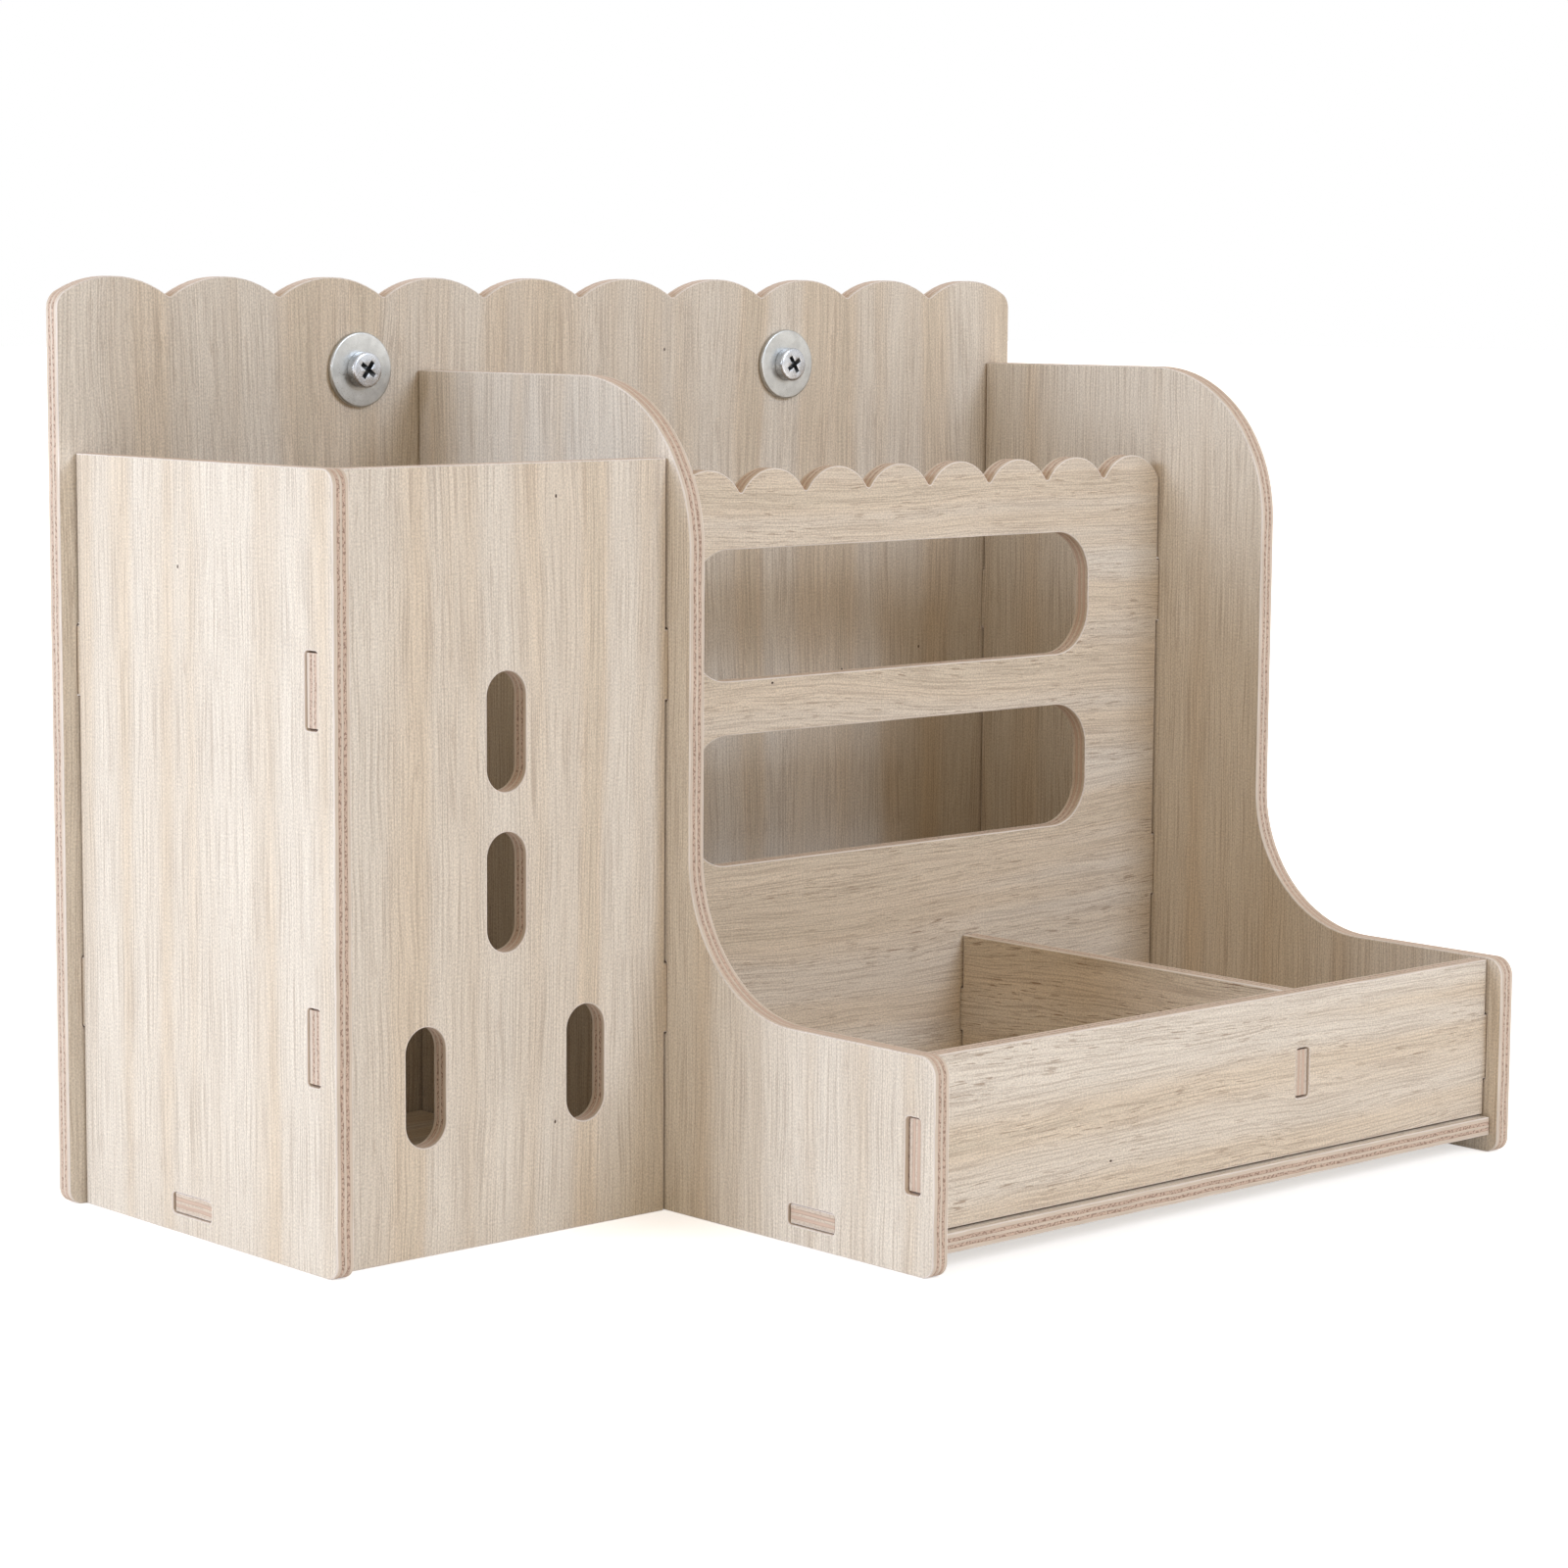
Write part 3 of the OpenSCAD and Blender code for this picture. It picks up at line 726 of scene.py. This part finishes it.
def wing_tool(points, side, wing_t):
    """One wing of an outline, thickest in the middle, as cast, and thin at its rounded rim."""
    mesh = bmesh.new()
    centre = sum(points, Vector((0, 0))) / len(points)
    rim = 0.90
    rings = []
    for share, y in ((rim, -wing_t / 2), (1.0, -wing_t / 4), (1.0, wing_t / 4), (rim, wing_t / 2)):
        rings.append([mesh.verts.new((side * (centre.x + (p.x - centre.x) * share), y,
                                      centre.y + (p.y - centre.y) * share)) for p in points])
    for low, high in zip(rings, rings[1:]):
        for k in range(len(points)):
            j = (k + 1) % len(points)
            mesh.faces.new((low[k], low[j], high[j], high[k]))
    mesh.faces.new(rings[0])
    mesh.faces.new(rings[-1])
    return loose_object(mesh, "wing_tool")


def build_wing_nut(name, node, looks):
    """A cast wing nut: hub and two wings run together with soft fillets, bored for the screw."""
    low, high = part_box(node)
    half_span, height, hub_r = (high.x - low.x) / 2, high.y - low.y, (high.z - low.z) / 2
    hub_h, ear_r = height * 0.5, height * 0.32
    top_r, foot_h, fillet = hub_r - 1 * MM, 0.5 * MM, 0.7 * MM
    # Smoothing draws the cast form in, so it starts this much larger
    grow_by = 0.12 * MM
    mesh = bmesh.new()
    lathe(mesh, [(0, 0), (hub_r + grow_by, 0), (hub_r + grow_by, foot_h), (top_r + 0.3 * MM, hub_h - fillet),
                 (top_r - fillet * 0.4, hub_h), (0, hub_h)])
    nut = loose_object(mesh, name)
    wing = wing_outline(half_span + grow_by, height + grow_by, hub_r, hub_h, ear_r)
    for side in (1, -1):
        joined(nut, wing_tool(wing, side, looks.wing_t), "UNION")
    cast = nut.modifiers.new("cast", "REMESH")
    cast.mode = "VOXEL"
    cast.voxel_size = looks.cast_grain
    melt = nut.modifiers.new("melt", "SMOOTH")
    melt.factor = 0.5
    melt.iterations = 12
    applied(nut)
    mesh = bmesh.new()
    bore_r, lead, over = looks.shank_d / 2 + looks.running_play, 0.45 * MM, 1 * MM
    lathe(mesh, [(0, -over), (bore_r + lead + over, -over), (bore_r, lead), (bore_r, hub_h - lead),
                 (bore_r + lead + over, hub_h + over), (0, hub_h + over)])
    joined(nut, loose_object(mesh, "bore_tool"), "DIFFERENCE")
    fit_between(nut, half_span, height, hub_r)
    paint(nut, zinc_finish("zinc_plated_casting"))
    nut.data.transform(along_screw(node, low.y))
    return shade(nut, math.radians(40))


def fit_between(nut, half_span, height, hub_r):
    """Keeps a cast nut inside the space of its CAD node."""
    for vert in nut.data.vertices:
        x, y, z = vert.co
        vert.co = (max(-half_span, min(half_span, x)), max(-hub_r, min(hub_r, y)), max(0, min(height, z)))


def colour_property(name, description, hex_code):
    """A colour that the user can change."""
    return FloatVectorProperty(name=name, description=description, default=linear(hex_code)[:3],
                               min=0, max=1, subtype="COLOR")


def length_property(name, description, size_mm):
    """A length that the user can change."""
    return FloatProperty(name=name, description=description, default=size_mm * MM, unit="LENGTH")


def power_property(name, description, watts):
    """A lamp's power that the user can change."""
    return FloatProperty(name=name, description=description, default=watts, unit="POWER")


class FeederBoards(bpy.types.PropertyGroup):
    """Sizes and colours of the boards."""
    arris: length_property("Arris", "Radius of a board's eased edges", 0.3)
    arris_steps: IntProperty(name="Arris steps", description="Faces round an eased edge", default=3, min=1)
    greige: colour_property("Greige", "Ground colour of the oak print", "#DCD3C6")
    cream: colour_property("Cream", "Warm bands of the oak print", "#DBCEBC")
    ash: colour_property("Ash", "Grey bands of the oak print", "#E1DACF")
    tan: colour_property("Tan", "Year rings of the oak print", "#D5C9B7")
    pore: colour_property("Pore", "Pore streaks of the oak print", "#927861")
    fleck: colour_property("Fleck", "Rare dark flecks in the oak print", "#4A372B")
    film: colour_property("Film", "Cut rim of the printed film", "#EFE8E2")
    veneer: colour_property("Veneer", "Pale plies of the cut edge", "#DFD2C4")
    core: colour_property("Core", "Pinkish plies of the cut edge", "#D6BFAF")
    glue: colour_property("Glue", "Glue lines of the cut edge", "#BDA08B")
    pit: colour_property("Pit", "Open pores of the end grain", "#83695A")


class FeederHardware(bpy.types.PropertyGroup):
    """Sizes of the screws, washers and wing nuts."""
    shank_d: length_property("Thread diameter", "Outer diameter of the screw's thread", 5)
    pitch: length_property("Pitch", "Climb of the thread in one turn", 0.8)
    running_play: length_property("Running play", "Play between the thread and what runs on it", 0.06)
    hole_play: length_property("Hole play", "Play between the screw and the front washer", 0.25)
    recess_span: length_property("Recess span", "Tip to tip width of the cross recess", 5.4)
    recess_wing: length_property("Recess wing", "Width of a wing of the cross recess", 1.3)
    recess_depth: length_property("Recess depth", "Depth of the cross recess", 1.9)
    washer_edge: length_property("Washer edge", "Radius of a washer's arrises", 0.5)
    wing_t: length_property("Wing thickness", "Thickness of a wing nut's wing", 2.3)
    cast_grain: length_property("Cast grain", "Voxel that the wing nut is cast with", 0.25)


class FeederStage(bpy.types.PropertyGroup):
    """The camera, the lamps and the floor."""
    lens: FloatProperty(name="Lens", description="Focal length on a 36 mm sensor", default=91.37,
                        unit="CAMERA")
    key_power: power_property("Key power", "Power of the soft lamp on the left", 10.8)
    key_tint: colour_property("Key tint", "Colour of the soft lamps on the left and behind", "#DDEBFF")
    front_power: power_property("Front power", "Power of the soft lamp in front", 10.0)
    front_tint: colour_property("Front tint", "Colour of the soft lamp in front", "#DDEBFF")
    back_power: power_property("Back power", "Power of the soft lamp behind", 8.0)
    ambient: FloatProperty(name="Ambient", description="Strength of the light from all round", default=0.55)
    ambient_tint: colour_property("Ambient tint", "Colour of the light from all round", "#FFE6C4")
    floor: colour_property("Floor", "Colour of the floor", "#F4F3F1")


class BoardOperator:
    """What the operators that make boards share."""
    bl_options = {"REGISTER", "UNDO"}
    nodes = ()

    def execute(self, context):
        make_boards(context, self.nodes)
        return {"FINISHED"}


class FEEDER_OT_back_panel(BoardOperator, bpy.types.Operator):
    """Makes the scalloped back panel"""
    bl_idname = "feeder.back_panel"
    bl_label = "Back panel"
    nodes = ("back_panel",)


class FEEDER_OT_sides(BoardOperator, bpy.types.Operator):
    """Makes the left, middle and right sides"""
    bl_idname = "feeder.sides"
    bl_label = "Sides"
    nodes = ("left_side", "middle_side", "right_side")


class FEEDER_OT_hay_box(BoardOperator, bpy.types.Operator):
    """Makes the front and the floor of the hay box"""
    bl_idname = "feeder.hay_box"
    bl_label = "Hay box"
    nodes = ("box_front", "box_floor")


class FEEDER_OT_hay_rack(BoardOperator, bpy.types.Operator):
    """Makes the rack's scalloped front and the floor under it"""
    bl_idname = "feeder.hay_rack"
    bl_label = "Hay rack"
    nodes = ("rack_front", "rack_floor")


class FEEDER_OT_trough(BoardOperator, bpy.types.Operator):
    """Makes the trough's front and its divider"""
    bl_idname = "feeder.trough"
    bl_label = "Trough"
    nodes = ("trough_front", "trough_divider")


class FEEDER_OT_screws(bpy.types.Operator):
    """Makes the two cage screws"""
    bl_idname = "feeder.screws"
    bl_label = "Cage screws"
    # How each recess is turned in the photograph
    turns = {"left": math.radians(37), "right": math.radians(58)}

    def execute(self, context):
        looks = context.scene.feeder_hardware
        for side, turn in self.turns.items():
            node = side + "_screw"
            piece = build_screw(node + "_threaded", node, side + "_front_washer", turn, looks)
            shade(piece, math.radians(45))
            stand_in(piece, node, body_of_node(node))
        return {"FINISHED"}


class FEEDER_OT_washers(bpy.types.Operator):
    """Makes the washers in front of and behind the back panel"""
    bl_idname = "feeder.washers"
    bl_label = "Washers"

    def execute(self, context):
        looks = context.scene.feeder_hardware
        for place, play in (("front", looks.hole_play), ("rear", looks.running_play)):
            for side in ("left", "right"):
                node = f"{side}_{place}_washer"
                piece = build_washer(node + "_rounded", node, looks.shank_d + 2 * play, looks)
                stand_in(piece, node, body_of_node(node))
        return {"FINISHED"}


class FEEDER_OT_wing_nuts(bpy.types.Operator):
    """Makes the cast wing nuts behind the back panel"""
    bl_idname = "feeder.wing_nuts"
    bl_label = "Wing nuts"

    def execute(self, context):
        for side in ("left", "right"):
            node = side + "_wing_nut"
            piece = build_wing_nut(node + "_cast", node, context.scene.feeder_hardware)
            stand_in(piece, node, body_of_node(node))
        return {"FINISHED"}


class FEEDER_OT_stage(bpy.types.Operator):
    """Makes the floor, the lamps, the background and the camera"""
    bl_idname = "feeder.stage"
    bl_label = "Stage"

    def execute(self, context):
        looks = context.scene.feeder_stage
        make_floor(looks)
        make_world(context.scene, looks)
        for name, (place, width, power, tint) in LAMPS.items():
            soft_lamp(name, place, width, getattr(looks, power), getattr(looks, tint))
        make_camera(context.scene, looks)
        context.scene.view_settings.view_transform = "Standard"
        return {"FINISHED"}


def seen_ray(tree):
    """1 for the rays that show the background: from the camera, and by reflection or through glass."""
    path = add(tree, "ShaderNodeLightPath").outputs
    first = calc(tree, "MAXIMUM", path["Is Camera Ray"], path["Is Glossy Ray"])
    return calc(tree, "MAXIMUM", first, path["Is Transmission Ray"])


def make_floor(looks):
    """A pale floor that melts into the white background but keeps the feeder's shadow."""
    half_side, gap = 12, 0.02 * MM
    # The glow's strength at the feeder and away from it, and the distances that it grows between
    glow_near, glow_far, near, far = 0.55, 1.0, 0.2, 0.9
    mesh = bmesh.new()
    bmesh.ops.create_grid(mesh, x_segments=4, y_segments=4, size=half_side)
    floor = loose_object(mesh, "studio_floor")
    floor.location.z = CAD_BOX[0][2] - gap
    material, tree = new_material("painted_studio_floor")
    place = add(tree, "ShaderNodeTexCoord").outputs["Object"]
    mottle = noise(tree, place, 6)
    tone = laid(tree, mottle, rgba(looks.floor), (1, 1, 1, 1))
    paint_coat = add(tree, "ShaderNodeBsdfPrincipled", {"Base Color": tone, "Roughness": 0.9,
                                                        "Specular IOR Level": 0.1})
    away = add(tree, "ShaderNodeVectorMath", {0: place}, operation="LENGTH").outputs["Value"]
    glow = add(tree, "ShaderNodeEmission", {"Color": (1, 1, 1, 1),
                                            "Strength": faded(tree, away, near, far, glow_near, glow_far)})
    lit = add(tree, "ShaderNodeAddShader", {0: paint_coat.outputs[0], 1: glow.outputs[0]})
    shown = add(tree, "ShaderNodeMixShader", {0: seen_ray(tree), 1: paint_coat.outputs[0], 2: lit.outputs[0]})
    add(tree, "ShaderNodeOutputMaterial", {"Surface": shown.outputs[0]})
    floor.data.materials.append(material)


def make_world(scene, looks):
    """White where it shows, and a weaker even light on the object."""
    world = bpy.data.worlds.new("white_studio")
    world.use_nodes = True
    tree = world.node_tree
    tree.nodes.clear()
    ambient = add(tree, "ShaderNodeBackground", {"Color": rgba(looks.ambient_tint),
                                                 "Strength": looks.ambient})
    white = add(tree, "ShaderNodeBackground", {"Color": (1, 1, 1, 1), "Strength": 1})
    shown = add(tree, "ShaderNodeMixShader", {0: seen_ray(tree), 1: ambient.outputs[0], 2: white.outputs[0]})
    add(tree, "ShaderNodeOutputWorld", {"Surface": shown.outputs[0]})
    scene.world = world


def soft_lamp(name, place, width, power, tint):
    """A square softbox that faces the feeder."""
    light = bpy.data.lights.new(name, "AREA")
    light.size = width
    light.energy = power
    light.color = tint
    lamp = bpy.data.objects.new(name, light)
    lamp.location = place
    lamp.rotation_euler = (LAMP_TARGET - Vector(place)).to_track_quat("-Z", "Y").to_euler()
    bpy.context.scene.collection.objects.link(lamp)


def make_camera(scene, looks):
    """The camera, where the photograph was taken from."""
    yaw, pitch, roll = (math.radians(a) for a in CAMERA_TURN)
    data = bpy.data.cameras.new("photo_camera")
    data.lens = looks.lens
    data.sensor_width = SENSOR_MM
    data.sensor_fit = "HORIZONTAL"
    data.shift_x = CAMERA_SHIFT
    data.clip_start = 0.02
    camera = bpy.data.objects.new("photo_camera", data)
    camera.matrix_world = (Matrix.Translation(CAMERA_PLACE) @ Matrix.Rotation(-yaw, 4, "Z")
                           @ Matrix.Rotation(math.pi / 2 + pitch, 4, "X") @ Matrix.Rotation(roll, 4, "Z"))
    scene.collection.objects.link(camera)
    scene.camera = camera


PIECES = (FEEDER_OT_back_panel, FEEDER_OT_sides, FEEDER_OT_hay_box, FEEDER_OT_hay_rack, FEEDER_OT_trough,
          FEEDER_OT_screws, FEEDER_OT_washers, FEEDER_OT_wing_nuts, FEEDER_OT_stage)
GROUPS = {"feeder_boards": FeederBoards, "feeder_hardware": FeederHardware, "feeder_stage": FeederStage}


class FEEDER_PT_panel(bpy.types.Panel):
    """Lists the feeder's pieces and its stage"""
    bl_idname = "FEEDER_PT_panel"
    bl_label = "Hay feeder box"
    bl_space_type = "VIEW_3D"
    bl_region_type = "UI"
    bl_category = "Hay feeder"

    def draw(self, context):
        for piece in PIECES:
            self.layout.operator(piece.bl_idname)


CLASSES = (*GROUPS.values(), *PIECES, FEEDER_PT_panel)


def register():
    for cls in CLASSES:
        bpy.utils.register_class(cls)
    for name, group in GROUPS.items():
        setattr(bpy.types.Scene, name, PointerProperty(type=group))


def unregister():
    for name in GROUPS:
        delattr(bpy.types.Scene, name)
    for cls in reversed(CLASSES):
        bpy.utils.unregister_class(cls)


def main():
    register()
    for piece in PIECES:
        group, name = piece.bl_idname.split(".")
        getattr(getattr(bpy.ops, group), name)()


if __name__ == "__main__":
    main()
